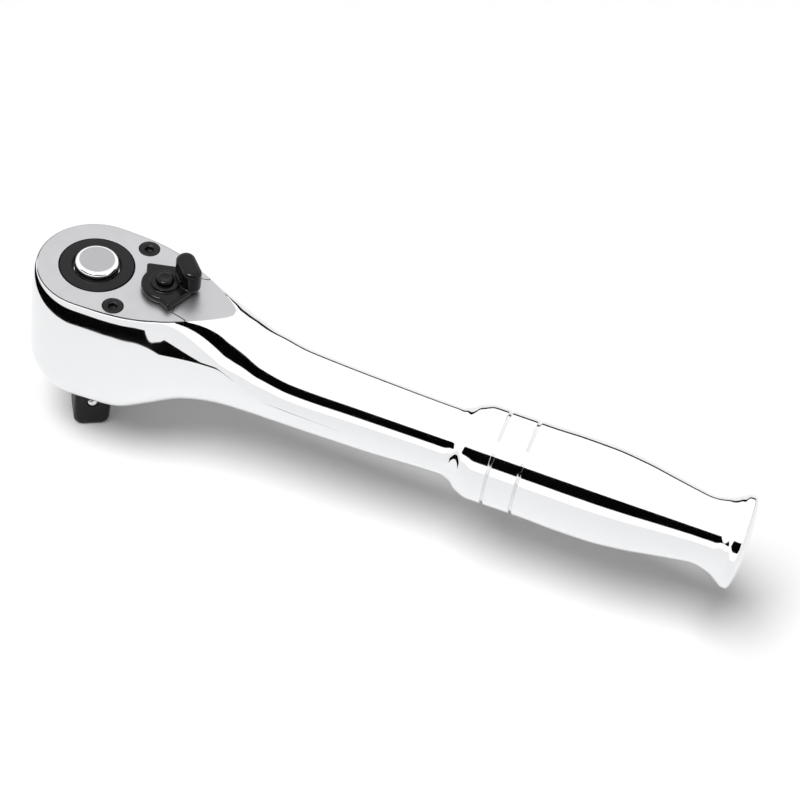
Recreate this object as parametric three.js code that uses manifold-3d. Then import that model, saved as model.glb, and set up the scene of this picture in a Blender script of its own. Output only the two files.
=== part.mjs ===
// Reversible ratchet wrench with a 3/8 inch square drive and a push-button socket release.
// Millimetres, +Z up. The origin is the centre of the drive's end face, +Z runs up the drive's
// axis to the button, and +X runs along the handle.
import * as THREE from 'three';
import { mergeVertices } from 'three/addons/utils/BufferGeometryUtils.js';
import Module from 'manifold-3d';

const wasm = await Module();
wasm.setup();

// ---- driving dimensions ----
const DRIVE_SQUARE = 9.525;          // 3/8 inch across the flats
const DRIVE_LENGTH = 17.5;
const DRIVE_TURN = -60;              // degrees: the face with the ball looks this way
const HEAD_HEIGHT = 37.5;
const HEAD_RADIUS = 16.1;
const COVER_THICKNESS = 2.3;
const HANDLE_DROP = 18.4;            // top face down to the handle's axis
const NECK_END = 97.5;
const NECK_RADIUS = 8.9;             // where the neck meets the grip
const GRIP_START = 103.3;
const GRIP_RADIUS = 12.4;
const GROOVE_X = [110, 117.6];
const GROOVE_DEPTH = 0.9;
const GROOVE_HALF_WIDTH = 1;
const HANDLE_END = 175.8;

const GEAR_TEETH = 36;               // a multiple of 12, so quarter turns stay in mesh
const GEAR_TIP_RADIUS = 10.3;
const GEAR_ROOT_RADIUS = 9.5;
const RING_RADIUS = 9.35;            // the drive's upper journal, seen through the cover
const LOWER_JOURNAL_RADIUS = 7.2;
const BUTTON_RADIUS = 5.55;
const BUTTON_STAND = 2.2;            // how far the button stands above the cover
const BUTTON_TRAVEL = 2.5;
const ROD_RADIUS = 2;
const ROD_WAIST_RADIUS = 1;
const BALL_RADIUS = 1.6;
const BALL_STAND = 0.7;              // how far the ball stands out of its flat
const BALL_Z = 9;

const PAWL_PIVOT_X = 12.6;
const PAWL_SWING = 5.7;              // degrees to each side of the middle
const SELECTOR_X = 18.4;
const SELECTOR_TURN = 42;            // degrees to each side of the handle's axis
const SCREW_X = 9.4;
const SCREW_Y = 11.3;
const SCREW_HEAD_RADIUS = 2.5;
const GAP = 0.2;                     // between parts that rest on each other
const RUNNING_GAP = 0.15;            // around turning and sliding parts

// ---- sizes worked out from them ----
const HEAD_BOTTOM = DRIVE_LENGTH;
const TOP = HEAD_BOTTOM + HEAD_HEIGHT;
const AXIS_Z = TOP - HANDLE_DROP;
const COVER_Z = TOP - COVER_THICKNESS;
const BODY_TOP = COVER_Z - GAP;
const FLOOR_Z = HEAD_BOTTOM + 10.5;
const GEAR_Z = FLOOR_Z + 1.1;
const GEAR_TOP = BODY_TOP - 0.3;
const RING_TOP = TOP + 0.2;
const CUP_RADIUS = BUTTON_RADIUS + 0.65;
const CUP_FLOOR = TOP - 8;
const FLANGE_TOP = TOP - 1.5;
const FLANGE_BOTTOM = TOP - 2.7;
const PLUNGER_Z = (FLOOR_Z + BODY_TOP) / 2;
const BARREL_RADIUS = 2.9;
const LEVER_Z = TOP + GAP;

const ROUND = 40;
const SMALL_ROUND = 24;
const TURN = 2 * Math.PI;
const degrees = (angle) => angle * Math.PI / 180;

// ---- solids ----
function solid(geometry) {
  const plain = geometry.clone();
  plain.deleteAttribute('normal');
  plain.deleteAttribute('uv');
  const merged = mergeVertices(plain, 1e-5);
  const places = merged.attributes.position;
  const corners = [];
  for (let i = 0; i < merged.index.count; i += 3) {
    const [a, b, c] = [0, 1, 2].map((k) => merged.index.getX(i + k));
    if (a !== b && b !== c && a !== c) corners.push(a, b, c);
  }
  const triangles = new Uint32Array(corners);
  if (signedVolume(places, triangles) < 0) triangles.reverse();
  return new wasm.Manifold(new wasm.Mesh({
    numProp: 3,
    vertProperties: new Float32Array(places.array),
    triVerts: triangles,
  }));
}

function signedVolume(places, triangles) {
  const [a, b, c] = [new THREE.Vector3(), new THREE.Vector3(), new THREE.Vector3()];
  let total = 0;
  for (let i = 0; i < triangles.length; i += 3) {
    a.fromBufferAttribute(places, triangles[i]);
    b.fromBufferAttribute(places, triangles[i + 1]);
    c.fromBufferAttribute(places, triangles[i + 2]);
    total += a.dot(b.cross(c));
  }
  return total;
}

function surface(manifold) {
  const mesh = manifold.getMesh();
  const geometry = new THREE.BufferGeometry();
  geometry.setAttribute('position', new THREE.BufferAttribute(mesh.vertProperties, 3));
  geometry.setIndex(new THREE.BufferAttribute(mesh.triVerts, 1));
  geometry.computeVertexNormals();
  return geometry;
}

const join = (...solids) => solids.reduce((all, one) => all.add(one));
const cut = (blank, ...tools) => tools.reduce((left, tool) => left.subtract(tool), blank);

// A turned piece about the Z axis, from [radius, z] points that start and end on the axis
// or close on themselves.
function turned(profile, sides = ROUND) {
  const points = profile.map(([radius, z]) => new THREE.Vector2(radius, z));
  return solid(new THREE.LatheGeometry(points, sides).rotateX(Math.PI / 2));
}

const disc = (radius, low, high, sides = ROUND) => turned(
  [[0, low], [radius, low], [radius, high], [0, high]], sides);

const tube = (inner, outer, low, high, sides = ROUND) => turned(
  [[inner, low], [outer, low], [outer, high], [inner, high], [inner, low]], sides);

function prism(points, low, high) {
  const outline = new THREE.Shape(points.map(([x, y]) => new THREE.Vector2(x, y)));
  const geometry = new THREE.ExtrudeGeometry(outline, { depth: high - low, bevelEnabled: false });
  return solid(geometry.translate(0, 0, low));
}

// A plain block with rounded upper edges, grown from its outline by a bevel of its own size.
function cushioned(points, low, high, round) {
  const outline = new THREE.Shape(points.map(([x, y]) => new THREE.Vector2(x, y)));
  const geometry = new THREE.ExtrudeGeometry(outline, {
    depth: high - low - 2 * round,
    bevelThickness: round,
    bevelSize: round,
    bevelOffset: -round,
    bevelSegments: 3,
  });
  return solid(geometry.translate(0, 0, low + round));
}

function arc(centre, radius, from, to, steps) {
  return Array.from({ length: steps + 1 }, (_, i) => {
    const angle = degrees(from + (to - from) * i / steps);
    return [centre[0] + radius * Math.cos(angle), centre[1] + radius * Math.sin(angle)];
  });
}

// ---- shape rules for the forging ----
// A smooth value along the handle: cubic between stations [x, value], level at both ends.
function along(stations) {
  const slopes = stations.map((_, i) => {
    if (i === 0 || i === stations.length - 1) return 0;
    const before = (stations[i][1] - stations[i - 1][1]) / (stations[i][0] - stations[i - 1][0]);
    const after = (stations[i + 1][1] - stations[i][1]) / (stations[i + 1][0] - stations[i][0]);
    return before * after > 0 ? 2 * before * after / (before + after) : 0;
  });
  return (x) => {
    if (x <= stations[0][0]) return stations[0][1];
    if (x >= stations.at(-1)[0]) return stations.at(-1)[1];
    const i = stations.findIndex(([place]) => place > x) - 1;
    const span = stations[i + 1][0] - stations[i][0];
    const t = (x - stations[i][0]) / span;
    return stations[i][1] * (1 + 2 * t) * (1 - t) ** 2
      + stations[i + 1][1] * t * t * (3 - 2 * t)
      + span * slopes[i] * t * (1 - t) ** 2
      - span * slopes[i + 1] * t * t * (1 - t);
  };
}

const PLATE_TIP_X = 38.8;
const PLATE_RADIUS = 14.8;
const bodyHalfWidth = along([[0, HEAD_RADIUS], [6, 16], [12, 15.45], [17, 14.3], [22, 12.9],
  [27, 11.9], [33, 11.1], [40, 10.6], [49, 10.3], [61, 10], [75, 9.4], [NECK_END, NECK_RADIUS]]);
const plateHalfWidth = along([[0, PLATE_RADIUS], [6, 14.65], [12, 14.05], [16, 13.2], [21, 11.4],
  [27, 8.5], [32, 5.5], [36, 2.5], [PLATE_TIP_X, 0]]);
const crownDrop = along([[0, 0], [37, 0], [42, 2.2], [48, 5.9], [57, 8.2], [75, 9],
  [NECK_END, HANDLE_DROP - NECK_RADIUS]]);
const bellyDrop = along([[0, HEAD_HEIGHT], [10, HEAD_HEIGHT], [20, 35.4], [29, 31.6], [40, 29.6],
  [58, 29], [75, 28.7], [NECK_END, HANDLE_DROP + NECK_RADIUS]]);
const crownRound = along([[0, 11], [17, 11], [33, 10.3], [49, 10.3], [61, 10], [75, 9.4],
  [NECK_END, NECK_RADIUS]]);
const crownCrease = along([[0, 0], [18, 0], [24, 0.4], [PLATE_TIP_X, 0.4], [52, 0]]);
const bellyRound = along([[0, 11], [12, 11], [24, 13], [40, 13], [60, 11.5],
  [NECK_END, NECK_RADIUS]]);
const bellyInset = along([[0, 8.6], [12, 9], [24, 11], [33, 11.1], [40, 10.6], [49, 10.3],
  [61, 10], [75, 9.4], [NECK_END, NECK_RADIUS]]);
const END_ROUND_X = 173.7;
const END_ROUND_RADIUS = 12.1;
const gripRadius = along([[NECK_END, NECK_RADIUS], [99.3, 9.6], [101.6, 11.6],
  [GRIP_START, GRIP_RADIUS], [121, GRIP_RADIUS], [129, 12.6], [137, 12.5], [146, 11.7],
  [154, 10.4], [161, 9.1], [164.9, 8.6], [167.8, 9.3], [170.6, 11.6], [172.6, 12.5],
  [END_ROUND_X, END_ROUND_RADIUS]]);

function grooved(x) {
  const depths = GROOVE_X.map((place) => Math.max(0, 1 - Math.abs(x - place) / GROOVE_HALF_WIDTH));
  return gripRadius(x) - GROOVE_DEPTH * Math.max(...depths);
}

// The sizes of the section at x: a round one in the grip, a cornered one in the head and neck.
function sectionSizes(x) {
  if (x >= NECK_END) {
    const radius = handleRadius(x);
    return {
      wide: radius,
      crown: AXIS_Z + radius,
      belly: AXIS_Z - radius,
      crownIn: radius,
      crownUp: radius,
      bellyIn: radius,
      bellyUp: radius,
      crease: 0,
    };
  }
  const wide = bodyHalfWidth(x);
  return {
    wide,
    crown: TOP - crownDrop(x),
    belly: TOP - bellyDrop(x),
    crownIn: Math.min(wide, wide - plateHalfWidth(x)),
    crownUp: crownRound(x),
    bellyIn: Math.min(wide, bellyInset(x)),
    bellyUp: bellyRound(x),
    crease: crownCrease(x),
  };
}

// Half of the section at x as [y, z] points, from the belly's middle round to the crown's.
const CORNER_STEPS = 6;
function halfSection(x) {
  const sizes = sectionSizes(x);
  const points = [[0, sizes.belly]];
  for (let i = 0; i <= CORNER_STEPS; i += 1) {
    const angle = Math.PI / 2 * i / CORNER_STEPS;
    points.push([sizes.wide - sizes.bellyIn * (1 - Math.sin(angle)),
      sizes.belly + sizes.bellyUp * (1 - Math.cos(angle))]);
  }
  for (let i = 0; i <= CORNER_STEPS; i += 1) {
    const angle = Math.PI / 2 * i / CORNER_STEPS;
    const chord = i / CORNER_STEPS;
    const inward = THREE.MathUtils.lerp(1 - Math.cos(angle), chord, sizes.crease);
    const below = THREE.MathUtils.lerp(1 - Math.sin(angle), 1 - chord, sizes.crease);
    points.push([sizes.wide - sizes.crownIn * inward, sizes.crown - sizes.crownUp * below]);
  }
  points.push([0, sizes.crown]);
  return points;
}

// The grip's radius, closed by a low dome at the end.
function handleRadius(x) {
  if (x <= END_ROUND_X) return grooved(x);
  const rise = (x - END_ROUND_X) / (HANDLE_END - END_ROUND_X);
  return END_ROUND_RADIUS * Math.sqrt(Math.max(0, 1 - rise * rise));
}

// Half sections run down the near side, round the nose as a turned shape and up the far side.
function forging() {
  const grooves = GROOVE_X.flatMap((x) => [x - GROOVE_HALF_WIDTH, x, x + GROOVE_HALF_WIDTH]);
  const stations = [0, 3, 6, 9, 12, 15, 18, 21, 24, 27, 30, 33, 36, PLATE_TIP_X, 42, 45, 48, 52,
    57, 64, 74, 86, NECK_END, 99.3, 100.4, 101.6, 102.5, GRIP_START, ...grooves, 125, 131, 137,
    142, 146, 150, 154, 158, 161, 163, 164.9, 166.6, 168.2, 169.6, 170.8, 171.8, 172.6,
    END_ROUND_X, 174.8, 175.5, HANDLE_END];
  const noseSteps = 16;
  const sheets = [];
  for (const x of [...stations].reverse()) {
    sheets.push(halfSection(x).map(([y, z]) => [x, y, z]));
  }
  for (let i = 1; i < noseSteps; i += 1) {
    const angle = Math.PI * (0.5 + i / noseSteps);
    sheets.push(halfSection(0).map(([y, z]) => [y * Math.cos(angle), y * Math.sin(angle), z]));
  }
  for (const x of stations) {
    sheets.push(halfSection(x).map(([y, z]) => [x, -y, z]));
  }
  const count = sheets[0].length;
  const triangles = [];
  for (let i = 0; i + 1 < sheets.length; i += 1) {
    for (let j = 0; j + 1 < count; j += 1) {
      const [a, b] = [i * count + j, i * count + j + 1];
      triangles.push(a, b, b + count, a, b + count, a + count);
    }
  }
  const geometry = new THREE.BufferGeometry();
  geometry.setAttribute('position', new THREE.Float32BufferAttribute(sheets.flat(2), 3));
  geometry.setIndex(triangles);
  return solid(geometry);
}

// The cover is let into the head. It ends in a straight edge behind the lever, with a slanted
// ear to each side. Its seat has the same outline, grown by the seam.
const COVER_END_X = 23.2;
const COVER_END_HALF = 7;
const EAR_X = 27.2;
const EAR_TIP = 0.4;                 // width of each ear's blunt tip
const SEAM = 0.22;

function coverOutline(grow) {
  const far = [];
  const steps = 9;
  for (let i = 0; i <= steps; i += 1) {
    const x = EAR_X * (1 - i / steps);
    far.push([i === 0 ? x + grow : x, plateHalfWidth(x) + grow]);
  }
  const near = far.map(([x, y]) => [x, -y]).reverse();
  const [endX, endHalf] = [COVER_END_X + grow, COVER_END_HALF - grow];
  const tipHalf = plateHalfWidth(EAR_X) - EAR_TIP - grow;
  return [...far, ...arc([0, 0], PLATE_RADIUS + grow, 90, 270, 20).slice(1, -1), ...near,
    [EAR_X + grow, -tipHalf], [endX, -endHalf], [endX, endHalf], [EAR_X + grow, tipHalf]];
}

// ---- the parts ----
const tool = new THREE.Group();
const chrome = [0xdfe1e4, 0.08, 1];
const satin = [0xc4c4c8, 0.4, 1];
const blackOxide = [0x17171a, 0.42, 0.6];
const glossBlack = [0x0c0c0e, 0.2, 0.4];
const steel = [0x9a9ca0, 0.3, 1];
const rubber = [0x111111, 0.8, 0];

function add(name, shape, [color, roughness, metalness]) {
  const finish = new THREE.MeshStandardMaterial({ color, roughness, metalness });
  const mesh = new THREE.Mesh(surface(shape), finish);
  mesh.name = name;
  tool.add(mesh);
  return mesh;
}

// Places a shape that was built about its own Z axis with its finger or ball along +X.
function place(mesh, x, y, turn = 0) {
  mesh.position.set(x, y, 0);
  mesh.rotation.z = degrees(turn);
}

function screwHole(x, y) {
  return disc(1.35, TOP - 14, TOP + 1, 16).translate([x, y, 0]);
}

function makeBody() {
  const coverSeat = prism(coverOutline(SEAM), BODY_TOP, TOP + 2);
  const gearBore = disc(GEAR_TIP_RADIUS + 0.45, FLOOR_Z, TOP);
  const lowerBore = disc(LOWER_JOURNAL_RADIUS + RUNNING_GAP, HEAD_BOTTOM - 2, FLOOR_Z + 1);
  const pawlPocket = join(
    prism([[2, 0], ...arc([0, 0], 13.15, -49, 49, 12)], FLOOR_Z, TOP),
    prism([[9, -5.6], [21.4, -5.6], [22.2, -4.8], [22.2, 4.8], [21.4, 5.6], [9, 5.6]],
      FLOOR_Z, TOP));
  const pivotHole = disc(1.6 + RUNNING_GAP, FLOOR_Z - 1.8, FLOOR_Z + 1, SMALL_ROUND);
  const stemHole = disc(1.9 + RUNNING_GAP, FLOOR_Z - 1.4, FLOOR_Z + 1, SMALL_ROUND);
  const blank = cut(forging(), coverSeat, gearBore, lowerBore, pawlPocket,
    pivotHole.translate([PAWL_PIVOT_X, 0, 0]), stemHole.translate([SELECTOR_X, 0, 0]),
    screwHole(SCREW_X, SCREW_Y), screwHole(SCREW_X, -SCREW_Y));
  add('body', blank, chrome);
}

function makeCover() {
  const countersink = turned([[0, TOP - 2], [1.6, TOP - 2], [SCREW_HEAD_RADIUS + 0.25, TOP - 0.3],
    [SCREW_HEAD_RADIUS + 0.25, TOP + 1], [0, TOP + 1]], SMALL_ROUND);
  const shape = cut(prism(coverOutline(0), COVER_Z, TOP),
    disc(RING_RADIUS + 0.3, COVER_Z - 1, TOP + 1),
    disc(2.9, COVER_Z - 1, TOP + 1, SMALL_ROUND).translate([SELECTOR_X, 0, 0]),
    disc(1.6 + RUNNING_GAP, COVER_Z - 1, COVER_Z + 1.2, SMALL_ROUND)
      .translate([PAWL_PIVOT_X, 0, 0]),
    countersink.translate([SCREW_X, SCREW_Y, 0]), countersink.translate([SCREW_X, -SCREW_Y, 0]),
    screwHole(SCREW_X, SCREW_Y), screwHole(SCREW_X, -SCREW_Y));
  add('cover_plate', shape, satin);
}

function makeScrews() {
  const socket = prism(arc([0, 0], 1.35, 0, 300, 5), TOP - 1.5, TOP + 1);
  const shank = turned([[0, TOP - 12.5], [1, TOP - 12.5], [1.2, TOP - 12.1], [1.2, TOP - 2],
    [SCREW_HEAD_RADIUS, TOP - 0.4], [SCREW_HEAD_RADIUS, TOP - 0.1], [0, TOP - 0.1]], SMALL_ROUND);
  const screw = cut(shank, socket);
  place(add('cover_screw_near', screw, blackOxide), SCREW_X, -SCREW_Y, 12);
  place(add('cover_screw_far', screw, blackOxide), SCREW_X, SCREW_Y, 38);
}

// Straight-sided teeth; grow widens every tooth for a cutter that leaves running room.
function gearOutline(grow) {
  const tipHalf = 0.9 + grow * 5.5;
  const rootHalf = 3.9 + grow * 5.5;
  const points = [];
  for (let i = 0; i < GEAR_TEETH; i += 1) {
    const middle = 360 / GEAR_TEETH * i;
    const corners = [[GEAR_ROOT_RADIUS, -rootHalf], [GEAR_TIP_RADIUS, -tipHalf],
      [GEAR_TIP_RADIUS, tipHalf], [GEAR_ROOT_RADIUS, rootHalf]];
    for (const [radius, offset] of corners) {
      const angle = degrees(middle + offset);
      points.push([(radius + grow) * Math.cos(angle), (radius + grow) * Math.sin(angle)]);
    }
  }
  return points;
}

function makeDrive() {
  const half = DRIVE_SQUARE / 2;
  const corner = 1.1;
  const nose = 1.2;
  const side = half - corner;
  const square = (inset) => {
    const edge = half - inset;
    return [[edge, -side], [edge, side], [side, edge], [-side, edge], [-edge, side],
      [-edge, -side], [-side, -edge], [side, -edge]];
  };
  const tapered = turned([[0, 0], [half - nose + 0.9, 0], [half + 1.8, nose + 1.2],
    [half + 4, nose + 5], [half + 4, GEAR_Z - 2], [0, GEAR_Z - 2]]);
  const tang = prism(square(0), 0, GEAR_Z - 2.5).intersect(tapered).rotate([0, 0, DRIVE_TURN]);
  const groove = tube(8.75, 12, TOP - 1.75, TOP - 0.85);
  const journals = join(
    disc(LOWER_JOURNAL_RADIUS, HEAD_BOTTOM, GEAR_Z + 1),
    prism(gearOutline(0), GEAR_Z, GEAR_TOP),
    cut(turned([[0, GEAR_TOP - 1], [RING_RADIUS, GEAR_TOP - 1], [RING_RADIUS, RING_TOP - 0.3],
      [RING_RADIUS - 0.3, RING_TOP], [0, RING_TOP]]), groove));
  const ballHole = disc(BALL_RADIUS + 0.1, 0, 12, SMALL_ROUND)
    .rotate([0, 90, 0]).rotate([0, 0, DRIVE_TURN]).translate([0, 0, BALL_Z]);
  const shape = cut(join(tang, journals),
    disc(CUP_RADIUS, CUP_FLOOR, TOP + 2),
    tube(3, CUP_RADIUS + 0.5, TOP - 1.4, TOP - 0.5),
    disc(ROD_RADIUS + RUNNING_GAP, 2, TOP, SMALL_ROUND), ballHole);
  add('drive_gear', shape, blackOxide);
}

function makeDriveRings() {
  add('thrust_washer', tube(LOWER_JOURNAL_RADIUS + 0.3, GEAR_TIP_RADIUS, FLOOR_Z + 0.15,
    GEAR_Z - 0.15), steel);
  const section = 0.34;
  const seal = turned(arc([9.18, TOP - 1.3], section, 0, 360, 6), 28);
  add('gear_o_ring', seal, rubber);
  const snapGap = prism([[4, -0.9], [8, -1.3], [8, 1.3], [4, 0.9]], TOP - 3, TOP + 1);
  const snapRing = cut(tube(BUTTON_RADIUS + 0.2, CUP_RADIUS + 0.35, TOP - 1.3, TOP - 0.6), snapGap);
  place(add('button_snap_ring', snapRing, blackOxide), 0, 0, 140);
}

function makeButton() {
  const crown = TOP + BUTTON_STAND;
  const edge = 1.1;
  const roundEdge = arc([BUTTON_RADIUS - edge, crown - edge - 0.25], edge, 0, 78, 4);
  const socket = disc(ROD_RADIUS - 0.4, FLANGE_BOTTOM - 1, TOP - 0.2, SMALL_ROUND);
  const cap = cut(turned([[0, FLANGE_BOTTOM], [CUP_RADIUS - 0.2, FLANGE_BOTTOM],
    [CUP_RADIUS - 0.2, FLANGE_TOP], [BUTTON_RADIUS, FLANGE_TOP], ...roundEdge, [0, crown]]), socket);
  add('release_button', cap, chrome);
  const bottom = BUTTON_TRAVEL + 2.4;
  const waist = BALL_Z + 0.3;
  const rod = turned([[0, bottom], [1.5, bottom], [ROD_RADIUS, bottom + 0.5], [ROD_RADIUS, waist],
    [ROD_WAIST_RADIUS, waist + 0.6], [ROD_WAIST_RADIUS, waist + 3.2], [ROD_RADIUS, waist + 3.8],
    [ROD_RADIUS, FLANGE_BOTTOM - GAP], [1.4, FLANGE_BOTTOM - GAP], [1.4, TOP - 0.5],
    [0, TOP - 0.5]], SMALL_ROUND);
  add('release_rod', rod, steel);
}

// A coil spring about the Z axis with closed ends.
function coil(radius, wire, low, high, turns, stepsPerTurn, sides) {
  class Helix extends THREE.Curve {
    getPoint(t, target = new THREE.Vector3()) {
      const angle = TURN * turns * t;
      const rise = THREE.MathUtils.lerp(low + wire, high - wire, t);
      return target.set(radius * Math.cos(angle), radius * Math.sin(angle), rise);
    }
  }
  const ring = new THREE.Shape(arc([0, 0], wire, 0, 360 - 360 / sides, sides - 1)
    .map(([x, y]) => new THREE.Vector2(x, y)));
  return solid(new THREE.ExtrudeGeometry(ring, {
    steps: Math.round(turns * stepsPerTurn),
    extrudePath: new Helix(),
    bevelEnabled: false,
  }));
}

function makeReleaseSpring() {
  add('release_spring', coil(3.9, 0.35, CUP_FLOOR + 0.15, FLANGE_BOTTOM - 0.15, 3.5, 14, 6), steel);
}

function makeBall() {
  const ball = solid(new THREE.SphereGeometry(BALL_RADIUS, 16, 10));
  const reach = DRIVE_SQUARE / 2 + BALL_STAND - BALL_RADIUS;
  const mesh = add('drive_ball', ball, steel);
  mesh.position.set(reach * Math.cos(degrees(DRIVE_TURN)), reach * Math.sin(degrees(DRIVE_TURN)),
    BALL_Z);
}

// The pawl's arms hug the gear. Each toothed pad is cut by the gear at the pose where it bites,
// and the pivot post is scalloped where the selector's plunger passes it.
function makePawl() {
  const low = GEAR_Z + 0.2;
  const high = BODY_TOP - 0.4;
  const pad = GEAR_TIP_RADIUS + 0.12;
  const inner = pad + 0.65;
  const outer = 12.1;
  const plungerSweep = 4.75;
  const back = arc([SELECTOR_X, 0], plungerSweep, 226, 134, 8);
  const blank = prism([...arc([0, 0], pad, 44, 28, 4), ...arc([0, 0], inner, 26, -26, 10),
    ...arc([0, 0], pad, -28, -44, 4), ...arc([0, 0], outer, -44, -22, 5),
    ...back, ...arc([0, 0], outer, 22, 44, 5)], low, high);
  const post = disc(1.6, FLOOR_Z - 1.5, COVER_Z + 0.9, SMALL_ROUND).translate([PAWL_PIVOT_X, 0, 0]);
  const gearRoom = prism(arc([0, 0], inner, -180, 180, 60).slice(0, -1), 0, TOP);
  const scallop = disc(plungerSweep, PLUNGER_Z - 2.2, PLUNGER_Z + 2.2).translate([SELECTOR_X, 0, 0]);
  const trimmed = join(blank, cut(post, gearRoom, scallop));
  const cutter = prism(gearOutline(0.12), 0, TOP);
  const swung = (shape, turn) => shape.translate([-PAWL_PIVOT_X, 0, 0]).rotate([0, 0, turn])
    .translate([PAWL_PIVOT_X, 0, 0]);
  const nearBite = cut(swung(trimmed, -PAWL_SWING), cutter);
  const farBite = cut(swung(nearBite, 2 * PAWL_SWING), cutter);
  add('pawl', swung(farBite, -2 * PAWL_SWING), blackOxide);
}

// The stem carries the spring plunger on the side away from the lever's finger.
function makeSelector() {
  const stemTop = LEVER_Z + 3.8;
  const bore = disc(1.45, -2.1, 6, SMALL_ROUND).rotate([0, -90, 0]).translate([0, 0, PLUNGER_Z]);
  const stem = cut(turned([[0, FLOOR_Z - 1.2], [1.9, FLOOR_Z - 1.2], [1.9, FLOOR_Z + 0.3],
    [BARREL_RADIUS, FLOOR_Z + 0.3], [BARREL_RADIUS, BODY_TOP - 0.3], [2.2, BODY_TOP - 0.3],
    [2.2, stemTop - 0.4], [1.8, stemTop], [0, stemTop]], SMALL_ROUND), bore);
  place(add('selector_stem', stem, glossBlack), SELECTOR_X, 0, SELECTOR_TURN);

  const plunger = turned([[0, 3.4], [0.85, 3.4], [0.85, 1], [1.3, 1], [1.3, 3.6],
    ...arc([0, 3.2], 1.3, 20, 70, 3), [0, 4.45]], SMALL_ROUND);
  const plungerMesh = add('selector_plunger',
    plunger.rotate([0, -90, 0]).translate([0, 0, PLUNGER_Z]), steel);
  place(plungerMesh, SELECTOR_X, 0, SELECTOR_TURN);
  const spring = coil(0.6, 0.14, -1.95, 2.35, 5, 8, 5);
  const springMesh = add('selector_spring',
    spring.rotate([0, -90, 0]).translate([0, 0, PLUNGER_Z]), steel);
  place(springMesh, SELECTOR_X, 0, SELECTOR_TURN);
  const seal = turned(arc([2.56, COVER_Z + 1.1], 0.28, 0, 360, 6), 20);
  place(add('selector_o_ring', seal, rubber), SELECTOR_X, 0, 0);
}

// A shield-shaped base with a round hub, and a raised thumb paddle at its pointed side.
function makeLever() {
  const paddleHeight = 7;
  const shield = [...arc([0, 0], 5.9, 122, 238, 8), [-2.1, -7.7], [-1.5, -7.9], [5.2, -4.6],
    ...arc([5, 0], 3.5, -50, 50, 6), [5.2, 4.6], [-1.5, 7.9], [-2.1, 7.7]];
  const base = cushioned(shield, LEVER_Z, LEVER_Z + 1.9, 0.5);
  const hub = turned([[0, LEVER_Z + 1], [3.7, LEVER_Z + 1], [3.7, LEVER_Z + 2.3],
    [3.3, LEVER_Z + 2.7], [0, LEVER_Z + 2.7]], SMALL_ROUND);
  const paddle = [...arc([6.2, 2.3], 2.4, 0, 110, 5), ...arc([5.9, 2.3], 2.3, 110, 180, 3),
    ...arc([5.9, -2.3], 2.3, 180, 250, 3), ...arc([6.2, -2.3], 2.4, 250, 360, 5)];
  const finger = cushioned(paddle, LEVER_Z + 0.3, LEVER_Z + paddleHeight, 1.2);
  const shape = cut(join(base, hub, finger), disc(2.35, LEVER_Z - 1, TOP + 9, SMALL_ROUND));
  place(add('selector_lever', shape, glossBlack), SELECTOR_X, 0, SELECTOR_TURN);
}

makeBody();
makeCover();
makeScrews();
makeDrive();
makeDriveRings();
makeButton();
makeReleaseSpring();
makeBall();
makePawl();
makeSelector();
makeLever();

export default tool;
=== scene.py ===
# %% [markdown]
# # A reversible ratchet wrench
#
# This file builds the looks of a 3/8 inch ratchet wrench around a working frame that is already
# made. The frame knows every size and every joint. Each cell makes one piece of the tool, or one
# finish, and says how the real one is made.
#
# Lengths in the rules below are millimetres, as on a drawing. MM turns them into metres.

# %% Load the frame
import math

import bmesh
import bpy
import numpy as np
from mathutils import Matrix, Vector


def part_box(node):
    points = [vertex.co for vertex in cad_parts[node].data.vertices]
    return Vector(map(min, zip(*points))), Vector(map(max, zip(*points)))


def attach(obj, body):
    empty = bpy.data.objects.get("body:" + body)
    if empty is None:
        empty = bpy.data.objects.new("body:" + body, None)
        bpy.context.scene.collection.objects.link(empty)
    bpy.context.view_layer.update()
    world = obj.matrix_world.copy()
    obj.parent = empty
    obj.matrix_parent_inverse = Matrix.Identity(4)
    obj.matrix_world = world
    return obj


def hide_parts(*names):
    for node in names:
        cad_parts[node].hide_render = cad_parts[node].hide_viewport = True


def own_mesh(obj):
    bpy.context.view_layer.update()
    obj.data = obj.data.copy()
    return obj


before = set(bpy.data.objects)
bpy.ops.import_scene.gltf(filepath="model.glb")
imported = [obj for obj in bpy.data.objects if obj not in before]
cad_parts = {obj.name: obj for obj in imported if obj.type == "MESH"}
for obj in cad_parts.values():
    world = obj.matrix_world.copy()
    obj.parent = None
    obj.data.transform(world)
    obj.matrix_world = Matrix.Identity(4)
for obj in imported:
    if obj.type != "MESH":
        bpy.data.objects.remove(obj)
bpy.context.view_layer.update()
MM = 0.001
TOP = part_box("cover_plate")[1].z / MM
COVER_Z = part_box("cover_plate")[0].z / MM
HEAD_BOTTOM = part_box("body")[0].z / MM
HEAD_HEIGHT = TOP - HEAD_BOTTOM
HANDLE_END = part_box("body")[1].x / MM
print("nodes:", sorted(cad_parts))
print("top face at", round(TOP, 2), "mm, handle end at", round(HANDLE_END, 2), "mm")

# %% [markdown]
# ## Camera
#
# A long lens a good half metre away keeps the handle from shrinking towards its far end. The
# camera is placed from its turn round the tool, its height above the horizon and its roll, so
# the three angles can be read and changed. It looks past the tool, because the head sits in the
# left part of the picture and the grip in the right part.

# %% Camera
CAMERA_AZIMUTH = 11.92
CAMERA_ELEVATION = 46.81
CAMERA_ROLL = 10.48
CAMERA_LENS = 109.03
CAMERA_DISTANCE = 608.4
HEAD_LEFT_OF_AXIS = 76.1
HEAD_ABOVE_AXIS = 33.9


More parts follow.
